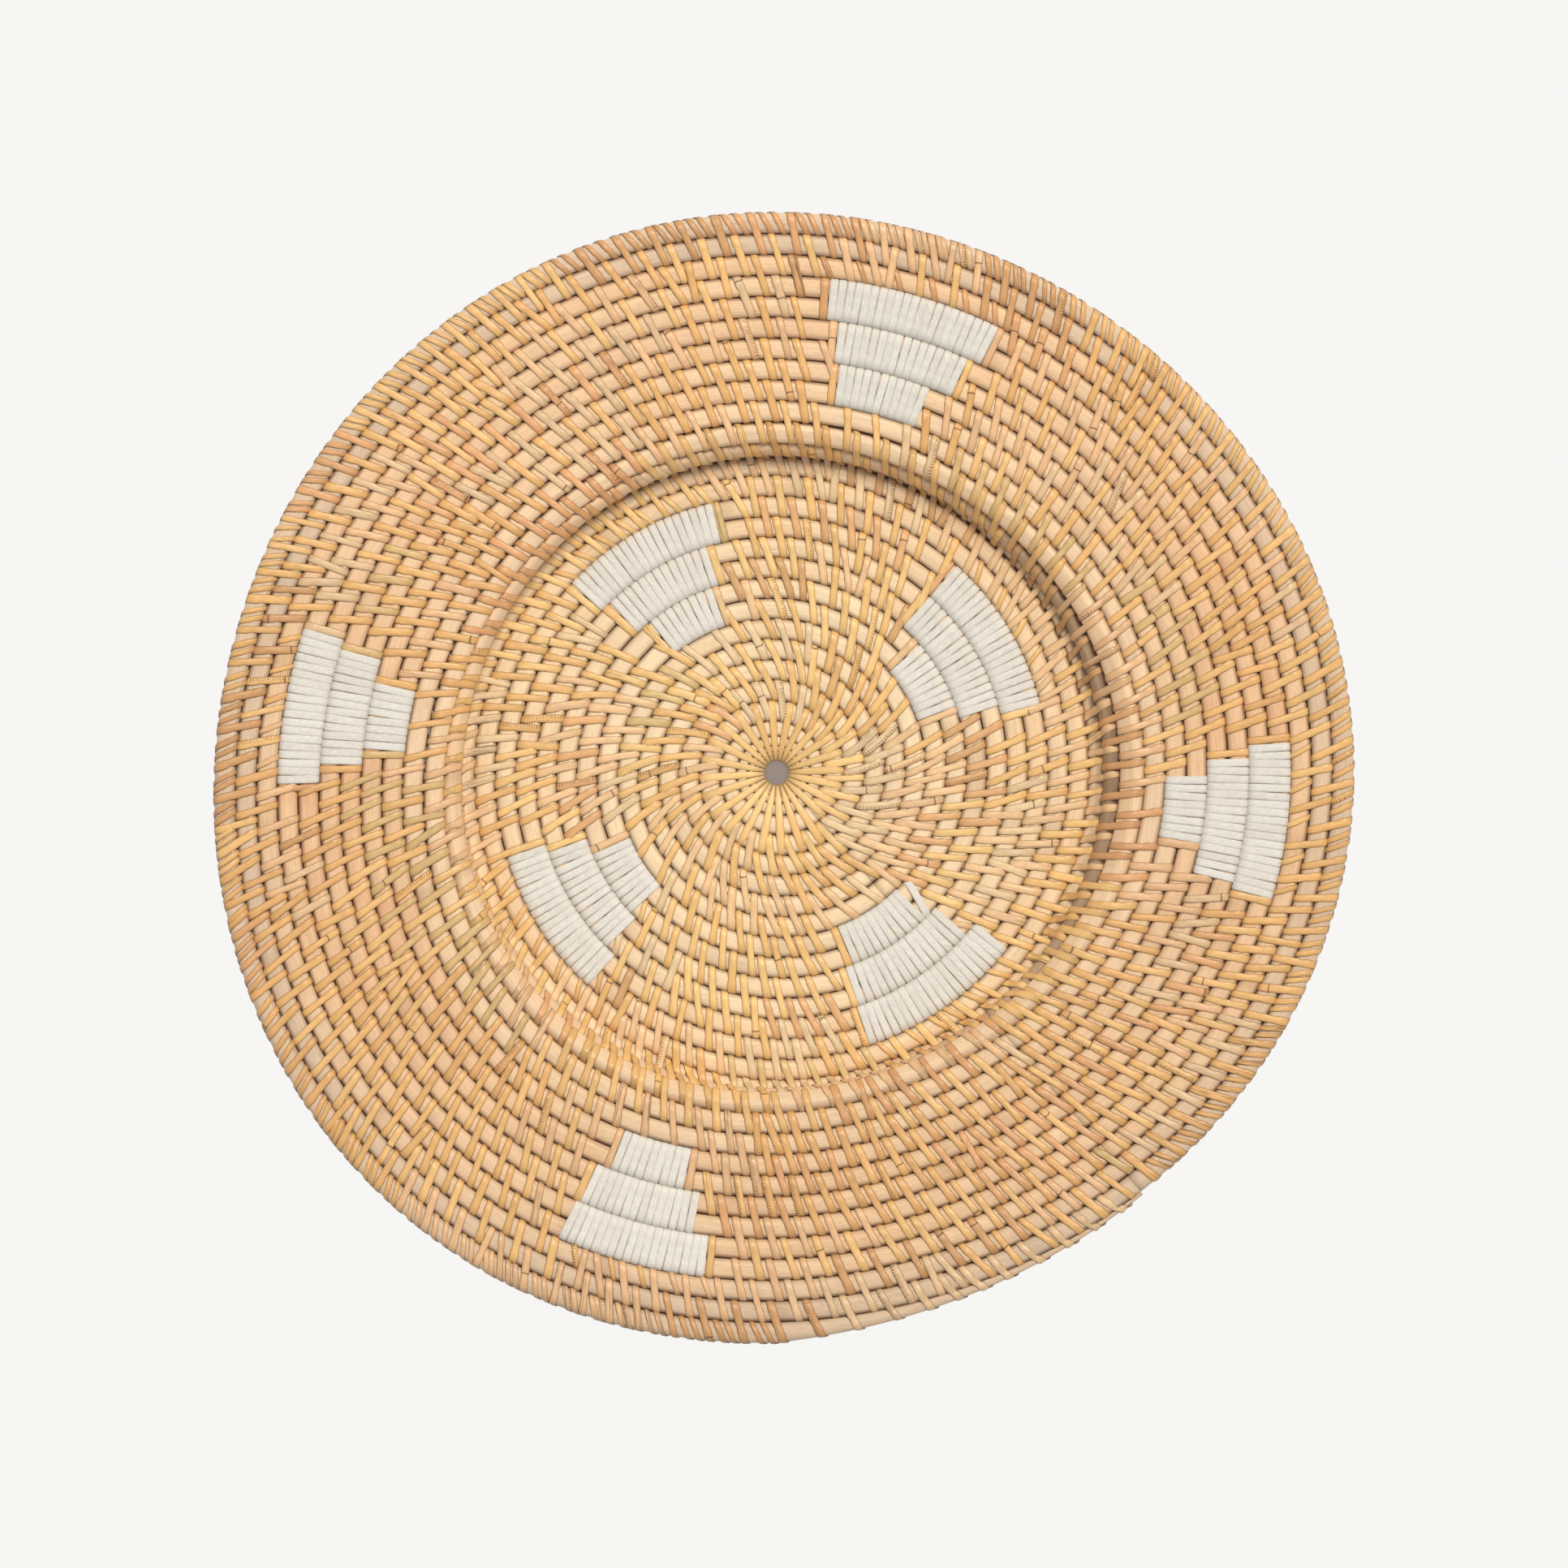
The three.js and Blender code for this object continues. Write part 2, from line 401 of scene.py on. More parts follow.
def addNoise(tree, vector, stretch, detail, roughness=0.55):
    scaled = tree.nodes.new("ShaderNodeVectorMath")
    scaled.operation = "MULTIPLY"
    tree.links.new(vector, scaled.inputs[0])
    scaled.inputs[1].default_value = stretch
    noise = tree.nodes.new("ShaderNodeTexNoise")
    noise.inputs["Scale"].default_value = 1.0
    noise.inputs["Detail"].default_value = detail
    noise.inputs["Roughness"].default_value = roughness
    tree.links.new(scaled.outputs[0], noise.inputs["Vector"])
    return noise.outputs["Fac"]


def remap(tree, value, low, high, toLow, toHigh):
    node = tree.nodes.new("ShaderNodeMapRange")
    node.clamp = True
    for name, number in (("From Min", low), ("From Max", high), ("To Min", toLow), ("To Max", toHigh)):
        node.inputs[name].default_value = number
    tree.links.new(value, node.inputs["Value"])
    return node.outputs["Result"]


def addMix(tree, factor, a, b):
    node = tree.nodes.new("ShaderNodeMix")
    node.data_type = "RGBA"
    for i, value in ((0, factor), (6, a), (7, b)):
        if isinstance(value, (int, float, tuple)):
            node.inputs[i].default_value = value
        else:
            tree.links.new(value, node.inputs[i])
    return node.outputs[2]


def makeGrainGroup():  # lengthwise fibre: the vector holds mm along, mm across and a seed
    inputs = {"Fibre": 0.3, "Pores": 0.3, "Blotches": 0.2}
    group, start, end = newGroup("lengthwiseGrain", inputs, ("Shade", "Height", "Blotch"))
    vector = start.outputs["Vector"]
    fibre = addNoise(group, vector, (0.06, 3.2, 1.0), 4.0, 0.6)
    pores = remap(group, addNoise(group, vector, (0.35, 6.5, 1.0), 2.0), 0.56, 0.68, 0.0, 1.0)
    blotch = addNoise(group, vector, (0.045, 0.22, 1.0), 2.0)
    shade = 1.0
    for value, name in ((fibre, "Fibre"), (blotch, "Blotches")):
        away = addMath(group, "SUBTRACT", value, 0.5)
        shade = addMath(group, "ADD", shade, addMath(group, "MULTIPLY", away, start.outputs[name]))
    shade = addMath(group, "SUBTRACT", shade, addMath(group, "MULTIPLY", pores, start.outputs["Pores"]))
    height = addMath(group, "SUBTRACT", fibre, addMath(group, "MULTIPLY", pores, 0.5))
    group.links.new(shade, end.inputs["Shade"])
    group.links.new(height, end.inputs["Height"])
    group.links.new(blotch, end.inputs["Blotch"])
    return group


noNode = -99.0  # a node's place along a strip that has none


def makeMarkGroup():  # a cane node: a thin dark ridge across the strip at one place along it
    group, start, end = newGroup("caneNode", {"Place": noNode, "Half Width": 0.35}, ("Mask",))
    along = group.nodes.new("ShaderNodeSeparateXYZ")
    group.links.new(start.outputs["Vector"], along.inputs[0])
    waver = addNoise(group, start.outputs["Vector"], (0.0, 1.1, 1.0), 1.0)
    away = addMath(group, "SUBTRACT", along.outputs["X"], start.outputs["Place"])
    away = addMath(group, "ADD", away, addMath(group, "SUBTRACT", waver, 0.5))
    share = addMath(group, "DIVIDE", addMath(group, "ABSOLUTE", away), start.outputs["Half Width"])
    group.links.new(remap(group, share, 0.4, 1.1, 1.0, 0.0), end.inputs["Mask"])
    return group


def makeLadderGroup():  # short ticks side by side across the strip, along one edge
    group, start, end = newGroup("ladderScar", {"Spacing": 0.85}, ("Mask",))
    parts = group.nodes.new("ShaderNodeSeparateXYZ")
    group.links.new(start.outputs["Vector"], parts.inputs[0])
    waver = addNoise(group, start.outputs["Vector"], (0.7, 1.2, 1.0), 1.0)
    step = addMath(group, "ADD", parts.outputs["X"], waver)
    step = addMath(group, "DIVIDE", step, start.outputs["Spacing"])
    wave = addMath(group, "SINE", addMath(group, "MULTIPLY", step, 2 * math.pi))
    ticks = remap(group, wave, 0.1, 0.7, 0.0, 1.0)
    edge = remap(group, addMath(group, "ADD", parts.outputs["Y"], waver), 0.2, 0.8, 0.0, 1.0)
    group.links.new(addMath(group, "MULTIPLY", ticks, edge), end.inputs["Mask"])
    return group


grainGroup = makeGrainGroup()
markGroup = makeMarkGroup()
ladderGroup = makeLadderGroup()


def startMaterial(name, roughness, specular):
    material = bpy.data.materials.new(name)
    material.use_nodes = True
    tree = material.node_tree
    shader = tree.nodes["Principled BSDF"]
    shader.inputs["Roughness"].default_value = roughness
    shader.inputs["Specular IOR Level"].default_value = specular
    return material, tree, shader


def readAttribute(tree, name, output="Vector"):
    node = tree.nodes.new("ShaderNodeAttribute")
    node.attribute_name = name
    return node.outputs[output]


def addGroup(tree, group, vector, values=()):
    node = tree.nodes.new("ShaderNodeGroup")
    node.node_tree = group
    tree.links.new(vector, node.inputs["Vector"])
    for i, value in enumerate(values):
        node.inputs[i + 1].default_value = value
    return node


def addBump(tree, shader, height, distance, strength):
    bump = tree.nodes.new("ShaderNodeBump")
    bump.inputs["Distance"].default_value = distance
    bump.inputs["Strength"].default_value = strength
    tree.links.new(height, bump.inputs["Height"])
    tree.links.new(bump.outputs["Normal"], shader.inputs["Normal"])


def shadeColour(tree, colour, shade):
    scale = tree.nodes.new("ShaderNodeVectorMath")
    scale.operation = "SCALE"
    tree.links.new(colour, scale.inputs[0])
    tree.links.new(shade, scale.inputs["Scale"])
    return scale.outputs[0]


# the floor, in metres

floorLook = {
    "rings": ((0.003, 0.9), (0.006, 1.0), (0.016, 1.0), (0.03, 0.0), (8.0, 0.0)),  # radius in m, shade
    "spokes": 48,
    "drop": 0.0007,  # below the tray's lowest strip
    # painted shadow: the brown-grey the floor turns to under the centre hole
    "shadowUnderHole": "#8A786A",
    "glow": 0.993,
}


def makeFloor():
    # Rings round the pole: the inmost ones, seen only through the centre hole, carry a painted shadow.
    spokes = floorLook["spokes"]
    around = np.arange(spokes) * 2 * np.pi / spokes
    radii, shades = zip(*floorLook["rings"])
    points = [
        (pole[0] * mm + radius * math.cos(a), pole[1] * mm + radius * math.sin(a), -floorLook["drop"])
        for radius in radii for a in around
    ]
    faces = [tuple(range(spokes))]
    for ring in range(len(radii) - 1):
        for i in range(spokes):
            j = (i + 1) % spokes
            first, second = ring * spokes, (ring + 1) * spokes
            faces.append((first + i, second + i, second + j, first + j))
    mesh = bpy.data.meshes.new("floor")
    mesh.from_pydata(points, [], faces)
    shade = mesh.attributes.new("shade", "FLOAT", "POINT")
    shade.data.foreach_set("value", np.repeat(shades, spokes).astype(np.float32))
    floor = bpy.data.objects.new("floor", mesh)
    bpy.context.scene.collection.objects.link(floor)
    material, tree, shader = startMaterial("paleFloor", 0.9, 0.0)
    colour = linearColour(light["background"])
    shadowUnderHole = (*linearColour(floorLook["shadowUnderHole"]), 1)
    glow = addMix(tree, readAttribute(tree, "shade", "Fac"), (*colour, 1), shadowUnderHole)
    tree.links.new(glow, shader.inputs["Emission Color"])
    shader.inputs["Base Color"].default_value = (*(colour * (1 - floorLook["glow"])), 1)
    shader.inputs["Emission Strength"].default_value = floorLook["glow"]
    mesh.materials.append(material)


makeFloor()
print("the floor is in place")

# materials: grain is the strength of fibre, pores and blotches, bump is a depth in m and a strength

rattanLook = {"grain": (0.5, 0.09, 0.3), "roughness": (0.54, 0.7), "bump": (0.0001, 0.8)}
skinLook = {
    "grain": (0.34, 0.07, 0.3),
    "roughness": (0.28, 0.42),
    "bump": (0.00012, 0.7),
    "node": ("#5E4026", 0.75),  # colour and strength
    "streak": ("#4A3423", 0.75),
    "scar": ("#7A4A26", 0.7),
}
cordLook = {"twist": 19, "roughness": 0.78, "sheen": 0.15, "bump": (0.00014, 0.9)}


def makeRattanCore():
    material, tree, shader = startMaterial("rattanCore", 0.6, 0.3)
    grain = addGroup(tree, grainGroup, readAttribute(tree, "grain"), rattanLook["grain"])
    colour = shadeColour(tree, readAttribute(tree, "tint", "Color"), grain.outputs["Shade"])
    tree.links.new(colour, shader.inputs["Base Color"])
    roughness = remap(tree, grain.outputs["Blotch"], 0.3, 0.7, *rattanLook["roughness"])
    tree.links.new(roughness, shader.inputs["Roughness"])
    addBump(tree, shader, grain.outputs["Height"], *rattanLook["bump"])
    return material


def makeCaneSkin():
    material, tree, shader = startMaterial("caneSkin", 0.36, 0.5)
    vector = readAttribute(tree, "grain")
    grain = addGroup(tree, grainGroup, vector, skinLook["grain"])
    colour = shadeColour(tree, readAttribute(tree, "tint", "Color"), grain.outputs["Shade"])
    mark = addGroup(tree, markGroup, vector)
    tree.links.new(readAttribute(tree, "nodePlace", "Fac"), mark.inputs["Place"])
    streak = remap(tree, addNoise(tree, vector, (0.05, 1.9, 1.0), 2.0), 0.57, 0.64, 0.0, 1.0)
    streak = addMath(tree, "MULTIPLY", streak, readAttribute(tree, "streak", "Fac"))
    ladder = addGroup(tree, ladderGroup, vector)
    scar = addMath(tree, "MULTIPLY", ladder.outputs["Mask"], readAttribute(tree, "scar", "Fac"))
    for name, mask in (("node", mark.outputs["Mask"]), ("streak", streak), ("scar", scar)):
        code, strength = skinLook[name]
        share = addMath(tree, "MULTIPLY", mask, strength)
        colour = addMix(tree, share, colour, (*linearColour(code), 1))
    tree.links.new(colour, shader.inputs["Base Color"])
    roughness = remap(tree, grain.outputs["Blotch"], 0.3, 0.7, *skinLook["roughness"])
    tree.links.new(roughness, shader.inputs["Roughness"])
    height = addMath(tree, "SUBTRACT", grain.outputs["Height"], mark.outputs["Mask"])
    addBump(tree, shader, height, *skinLook["bump"])
    return material


def makeWhiteCord():
    material, tree, shader = startMaterial("whiteCord", cordLook["roughness"], 0.25)
    vector = readAttribute(tree, "grain")
    turned = tree.nodes.new("ShaderNodeVectorRotate")
    turned.rotation_type = "Z_AXIS"
    turned.inputs["Angle"].default_value = math.radians(cordLook["twist"])
    tree.links.new(vector, turned.inputs["Vector"])
    twist = addNoise(tree, turned.outputs[0], (0.5, 2.9, 1.0), 3.0, 0.6)
    fuzz = addNoise(tree, vector, (2.5, 9.0, 1.0), 3.0, 0.7)
    shade = remap(tree, twist, 0.3, 0.7, 0.82, 1.06)
    shade = addMath(tree, "ADD", shade, remap(tree, fuzz, 0.3, 0.7, -0.05, 0.05))
    colour = shadeColour(tree, readAttribute(tree, "tint", "Color"), shade)
    tree.links.new(colour, shader.inputs["Base Color"])
    shader.inputs["Sheen Weight"].default_value = cordLook["sheen"]
    height = addMath(tree, "ADD", twist, addMath(tree, "MULTIPLY", fuzz, 0.4))
    addBump(tree, shader, height, *cordLook["bump"])
    return material


rattanCore = makeRattanCore()
caneSkin = makeCaneSkin()
whiteCord = makeWhiteCord()
print("materials are made")


def toneAt(turn):  # the wall and rim are warmer and darker than the well, most of all on one side
    share = smooth(turn, *core["rimToneFrom"])[..., None]
    # Painted shade: the tone sways round the tray, darker toward the bottom of the frame and lighter toward
    # the top.
    near = 1 + core["rimShadeSway"] * np.sin(bearingOf(turn))[..., None]
    return 1 + (np.array(core["rimTone"]) * near - 1) * share


def within(turn, span):  # rises between the first two turns of the span, falls between the last two
    return smooth(turn, *span[:2]) * (1 - smooth(turn, *span[2:]))


def coreTint(turn, angle):  # pale in the middle of the well, warmer outward, greyish at the edge
    along = turn * turnLength(turn)
    bearing = bearingOf(turn)
    warm = tone["warmth"]
    for start, end, share in tone["warmer"]:
        warm = warm + share * smooth(turn, start, end)
    for step, share, seed in tone["warmWander"]:
        warm = warm + share * wander(along, step, seed)
    glow = np.clip(0.9 * np.cos(2 * (bearing - np.radians(tone["glowBearing"]))) - 0.25, 0, 1)
    glow = glow * within(turn, tone["glowSpan"]) * (0.6 + 0.4 * wander(along, 60, 23))
    faded = tone["fading"] * smooth(turn, *tone["fadeSpan"]) + 0.2 * np.clip(wander(along, 90.0, 24), 0, 1)
    stain = tone["staining"] * np.clip((wander(along, 45.0, 25) - tone["stainFrom"]), 0, 1)
    # Painted shade: the wall turn goes grey-brown along the right side of the frame, turned from the light.
    wallShadeGrey = np.clip(np.cos(bearing - np.radians(tone["wallShadeBearing"])) * 1.6 - 0.6, 0, 1)
    wallShadeGrey = tone["wallShading"] * wallShadeGrey * within(turn, tone["wallShadeSpan"])
    shares = {
        "peach": np.clip(warm, 0, 1), "orange": glow, "grey": faded, "brown": stain, "wallShadeGrey": wallShadeGrey,
    }
    colour = linearColour(core["cream"])
    for name, share in shares.items():
        colour = colour + (linearColour(core[name]) - colour) * share[..., None]
    # Painted shade: the core darkens in the crevices where two turns touch, less on the lit side of the
    # wall.
    outward, inward = np.arcsin(liftOf(turn + 1)), np.arcsin(liftOf(turn)) + np.pi
    touching = np.where(turn < spiral["tailTurn"] - 1, np.cos(angle - outward), 0)
    closeness = np.maximum(touching, np.cos(angle - inward))
    shaded = np.clip(np.cos(bearing - np.radians(tone["shadedBearing"])), 0, 1)
    side = core["creviceShade"] * smooth(closeness, *core["creviceFrom"])
    side = side * (1 - within(turn, tone["wallSpan"]) * tone["wallRelief"] * (1 - shaded))
    colour = colour * toneAt(turn)
    return colour + (linearColour(core["paintedCreviceShade"]) - colour) * side[..., None]


zones = (  # name, first turn
    ("start", -spiral["startTurns"]), ("floor", 0),
    ("wall", spiral["floorTurns"]), ("rim", spiral["rimStart"]),
)


def makeCoreTurn(first):
    count = max(core["fewestStations"], int(round(turnLength(first + 0.5) / core["stationStep"])))
    turns = np.linspace(first, first + 1, count)
    if first + 1 == spiral["tailTurn"]:
        tail = np.linspace(spiral["tailFrom"], spiral["tailTurn"], core["tailStations"])
        turns = np.concatenate([turns[turns < spiral["tailFrom"]], tail])
    even = (np.arange(core["ringPoints"]) + 0.5) * 2 * np.pi / core["ringPoints"]
    angles = even - core["gather"] * np.sin(4 * even)
    turn, angle = np.meshgrid(turns, angles, indexing="ij")
    radius, height = coreMiddle(turn)
    reach = sectionRadius(turn, angle)
    points = place(turn, radius + reach * np.cos(angle), height + reach * np.sin(angle))[None]
    along = turn * turnLength(first + 0.5)
    around = ((angle + np.pi / 2) % (2 * np.pi)) * core["halfHeight"]  # its seam is at the underside
    grain = grainOf(along, around, first * core["grainSeed"], points.shape[:3])
    tint = withAlpha(coreTint(turn, angle), points.shape[:3])
    zone, start = [pair for pair in zones if first >= pair[1]][-1]
    count = f"{first - start + 1:02d}"
    addPiece(f"{zone}_core_{count}", points, sweepFaces(points, closed=False), rattanCore,
             {"grain": grain, "tint": tint}, [f"{zone}_turn_{count}"])


for first in range(-spiral["startTurns"], spiral["tailTurn"]):
    makeCoreTurn(first)
print("the core is wound")


route = {
    "leave": 28,  # degrees past its top at which a strip leaves one turn for the next
    "tuck": 192,  # degrees at which an open strip starts and ends, past the line joining the turns
    "space": 7.4,
    "halfWidth": 3.5,
    "halfHeight": 3.4,
    "wrapSteps": (8, 3, 15, 3),  # stations round the inner turn, across, round the outer and back
    "stitchSteps": (8, 3, 13, 3),
    "singleAngles": (205, -200),
    "singleStations": 22,
}


def pairRoute(steps, closed):
    # For each station: the share of the way from the inner turn to the outer, the direction in
    # which it lies from the core's middle, the length so far and the place across the two turns.
    inner, top, outer, under = steps
    leave = route["leave"]
    tuck = 180 if closed else route["tuck"]
    between = np.linspace(0, 1, top + 2)[1:-1]
    parts = [
        (np.zeros(inner), np.linspace(tuck, 90 - leave, inner)),
        (between, np.full(top, 90.0)),
        (np.ones(outer), np.linspace(90 + leave, -90 - leave, outer)),
        (np.linspace(1, 0, under + 2)[1:-1], np.full(under, -90.0)),
        (np.zeros(inner), np.linspace(-90 + leave, -tuck, inner)),
    ]
    share = np.concatenate([part[0] for part in parts])
    angle = np.radians(np.concatenate([part[1] for part in parts]))
    if closed:
        share, angle = share[:-1], angle[:-1]
    crossing = (share > 0) & (share < 1)
    lead = route["halfWidth"] * math.sin(math.radians(leave)) * (1 - 2 * share)
    across = route["space"] * share + np.where(crossing, lead, route["halfWidth"] * np.cos(angle))
    moved = np.hypot(np.diff(across), np.diff(route["halfHeight"] * np.sin(angle)))
    return share, angle, np.concatenate([[0], np.cumsum(moved)]), across / route["space"]


def singleRoute():  # round the outer turn alone
    angle = np.radians(np.linspace(*route["singleAngles"], route["singleStations"]))
    moved = np.abs(np.diff(angle)) * route["halfWidth"]
    return np.ones(len(angle)), angle, np.concatenate([[0], np.cumsum(moved)])


def layStrip(turn, share, angle, lift, sag):
    # Middle line and outward direction of strips laid round the turns at `turn` and `turn + 1`.
    below, inner, outer = coreMiddle(turn - 1), coreMiddle(turn), coreMiddle(turn + 1)
    pair = np.arctan2(outer[1] - inner[1], outer[0] - inner[0])
    before = np.arctan2(inner[1] - below[1], inner[0] - below[0])
    # the inner side is tucked in where the turn before touches this one
    hidden = np.clip(np.abs(angle) / (np.pi / 2) - 1, 0, 1) * (share == 0)
    direction = pair + angle + (before - pair) * hidden
    crossing = (share > 0) & (share < 1)
    lean = np.where(crossing, np.radians(route["leave"]) * np.sign(angle), 0)
    ends = []
    for here, centreLine, aim in ((turn, inner, direction - lean), (turn + 1, outer, direction + lean)):
        reach = sectionRadius(here, aim) + lift
        ends.append((centreLine[0] + reach * np.cos(aim), centreLine[1] + reach * np.sin(aim)))
    dip = 4 * sag * share * (1 - share)
    radius = ends[0][0] * (1 - share) + ends[1][0] * share - dip * np.cos(direction)
    height = ends[0][1] * (1 - share) + ends[1][1] * share - dip * np.sin(direction)
    middle = place(turn, radius, height)
    tip = place(turn, radius + np.cos(direction), height + np.sin(direction))
    return middle, tip - middle


def ribbon(middle, outward, width, thickness, section, closed):
    # section: points across as (share of the half width, share of the thickness)
    if closed:
        ahead = np.roll(middle, -1, axis=1) - np.roll(middle, 1, axis=1)
    else:
        ahead = np.gradient(middle, axis=1)
    ahead /= np.linalg.norm(ahead, axis=-1, keepdims=True)
    outward = outward - ahead * (outward * ahead).sum(-1, keepdims=True)
    outward /= np.linalg.norm(outward, axis=-1, keepdims=True)
    across = np.cross(ahead, outward)
    side, rise = np.array(section).T
    return (
        middle[:, :, None]
        + across[:, :, None] * (side * (width / 2)[..., None])[..., None]
        + outward[:, :, None] * (rise * thickness[..., None])[..., None]
    )


# white cord bands, lengths in mm

cord = {
    "spacing": 2.87,
    "overlap": 0.1,
    "thickness": 0.62,
    "sideThickness": 0.4,
    "sideSink": 0.5,  # how far the wraps press into the core between two bands
    "gapChance": 0.11,
    "gap": (0.05, 0.25),
    "jitter": 0.02,
    "fan": 0.03,
    "sag": -0.08,
    "strays": {"cord_well_right_inner": (1.3, 1.2)},  # an end wrap stands apart and leans, in mm
    "creviceShade": 0.55,
    "colour": "#EDE8DC",
    "dull": "#DFD8CA",
    "section": (
        (-1.0, 0.66), (-0.9, 0.88), (-0.5, 0.98), (0.0, 1.0), (0.5, 0.98), (0.9, 0.88),
        (1.0, 0.66), (0.8, 0.0), (-0.8, 0.0),
    ),
}
bandNames = ("outer", "middle", "inner")
rings = {  # bearings clockwise from the top, and wraps, of the outer, middle and inner bands
    "rim": {
        "lowerTurns": (21, 19, 17),
        "motifs": {
            "top": ((16.4, 16.4, 15.3), (21, 16, 11)),
            "right": ((95.5, 95.8, 95.0), (19, 15, 8)),
            "bottom": ((196.7, 197.5, 197.8), (18, 14, 9)),
            "left": ((277.9, 278.5, 278.0), (19, 14, 8)),
        },
    },
    "well": {
        "lowerTurns": (9, 7, 5),
        "motifs": {
            "top": ((58.1, 57.1, 58.9), (19, 15, 8)),
            "right": ((144.1, 145.4, 144.9), (20, 15, 11)),
            "bottom": ((237.1, 237.5, 236.1), (18, 13, 8)),
            "left": ((329.6, 329.1, 330.2), (19, 13, 8)),
        },
    },
}


def findBands():
    bands = []
    for ringName, ring in rings.items():
        for motif, (bearings, wraps) in ring["motifs"].items():
            for i, lower in enumerate(ring["lowerTurns"]):
                middle = lower + (90 - bearings[i] - spiral["tailBearing"]) % 360 / 360
                around = (turnLength(middle) + turnLength(middle + 1)) / 2
                name = f"cord_{ringName}_{motif}_{bandNames[i]}"
                bands.append((name, middle, wraps[i], cord["spacing"] / around))
    return bands


bands = findBands()


def inBand(turn, margin):  # margin in mm
    covered = np.zeros(np.shape(turn), bool)
    for _, middle, wraps, spacing in bands:
        half = wraps * spacing / 2
        for level in (0, 1):
            room = half + margin / turnLength(middle + level)
            covered |= np.abs(turn - middle - level) < room
    return covered


def makeBand(number, name, middle, wraps, spacing):
    random = np.random.default_rng(500 + number)
    share, angle, along, across = pairRoute(route["wrapSteps"], closed=True)
    gaps = np.where(random.random(wraps) < cord["gapChance"], random.uniform(*cord["gap"], wraps), 0)
    gaps[-1] = 0
    step = cord["spacing"] - gaps.sum() / wraps
    spots = np.concatenate([[0], np.cumsum(step + gaps[:-1])])
    spots = (spots - spots.mean()) / cord["spacing"]
    turn = middle + (spots + random.normal(0, cord["jitter"], wraps)) * spacing
    fan = random.uniform(-cord["fan"], cord["fan"], (wraps, 1)) * spacing
    if name in cord["strays"]:
        apart, leaning = cord["strays"][name]
        turn[-1] += apart * spacing / cord["spacing"]
        fan[-1] = -leaning * spacing / cord["spacing"]
    turn = turn[:, None] + fan * (2 * across - 1)
    upright = np.abs(np.sin(angle)) ** 0.7
    line, outward = layStrip(turn, share, angle, -cord["sideSink"] * (1 - upright), cord["sag"])
    thick = cord["sideThickness"] + (cord["thickness"] - cord["sideThickness"]) * upright
    thick = thick * random.uniform(0.94, 1.06, (wraps, 1))
    narrowest = coreAt(middle)[0] / ((coreAt(middle)[0] + coreAt(middle + 1)[0]) / 2)
    width = (step * narrowest + cord["overlap"]) * random.uniform(0.98, 1.02, (wraps, 1))
    width = width * np.ones(len(share))
    points = ribbon(line, outward, width, thick, cord["section"], closed=True)
    side = np.array(cord["section"])[:, 0]
    shape = points.shape[:3]
    seed = np.arange(wraps)[:, None, None] * 5.3 + number * 31.7
    grain = grainOf(along[:, None], side * cord["spacing"] / 2, seed, shape)
    tone = random.uniform(0, 0.5, wraps)[:, None, None, None]
    colour = linearColour(cord["colour"]) * (1 - tone) + linearColour(cord["dull"]) * tone
    # Painted shade: each wrap darkens at its two edges, where it meets the next, and down its sides in the
    # crevice between the turns.
    edge = 1 - 0.16 * np.abs(side)[None, None, :, None] ** 8
    paintedCreviceShade = 1 - cord["creviceShade"] * (1 - upright[None, :, None, None]) ** 2
    tint = withAlpha(colour * edge * paintedCreviceShade, shape)
    addPiece(name.replace("cord_", "winding_"), points, sweepFaces(points, closed=True), whiteCord,
             {"grain": grain, "tint": tint}, [name])


for number, band in enumerate(bands):
    makeBand(number, *band)
print("the white cord is wound")

# cane stitches, lengths in mm

cane = {
    "centreStrips": 24,
    "follow": 0.37,  # where a row's stitch lies between two of the row before
    "perTurn": ((27, 24), (60, 41), (96, 61), (195, 108)),  # radius in mm, stitches in one turn there
    # turn, degrees
    "lean": ((0, 6.0), (2, 18.0), (6, 15.0), (12, 13.5), (17, 14.0), (23, 14.0), (24, 16.0)),
    "leanSpread": 3.0,
    "splitBack": 0.14,  # where a split stitch's two halves lie, as shares of the gap
    "splitOn": 0.24,
    "evening": 0.4,
    "width": 2.95,
    "widthSpread": 0.2,
    "widthRange": (2.3, 3.4),
    "thickness": 0.5,
    "lift": 0.02,
    "sag": 0.02,
    "singleWidth": 2.1,
    "edgeWraps": (0.36, 0.66),  # where the outermost turn's single wraps lie between two stitches
    "singleLean": 0.5,  # mm along the turn for each mm round it
    "jitter": 0.25,
    "edgeJitter": 0.3,
    "besideBand": 1.5,  # mm from a band's end to the middle of the next stitch
    "besideReach": 7.0,
    "section": (
        (-1.0, 0.12), (-0.86, 0.62), (-0.42, 0.94), (0.42, 0.94), (0.86, 0.62), (1.0, 0.12),
        (0.72, -0.04), (-0.72, -0.04),
    ),
    "nodeChance": 0.07,
    "streakChance": 0.05,
    "scarChance": 0.035,
    "runs": (2, 8),  # stitches of one colour in a row, up to the last but one
    "edgeShade": 0.6,
    "tuckShade": 0.55,
    "wallRows": (12, 15),
    "wallTuck": 0.3,  # share of the tuck's shade on the wall
    "squeeze": 0.15,  # how much thinner a strip is where it is pressed between two turns
    "colours": (
        ("#F4C983", 0.22), ("#F0C17A", 0.22), ("#EBBA76", 0.16), ("#EFC592", 0.14), ("#E7B279", 0.08),
        ("#DFBE80", 0.06), ("#E8C99A", 0.08), ("#D8A870", 0.04),
    ),
}


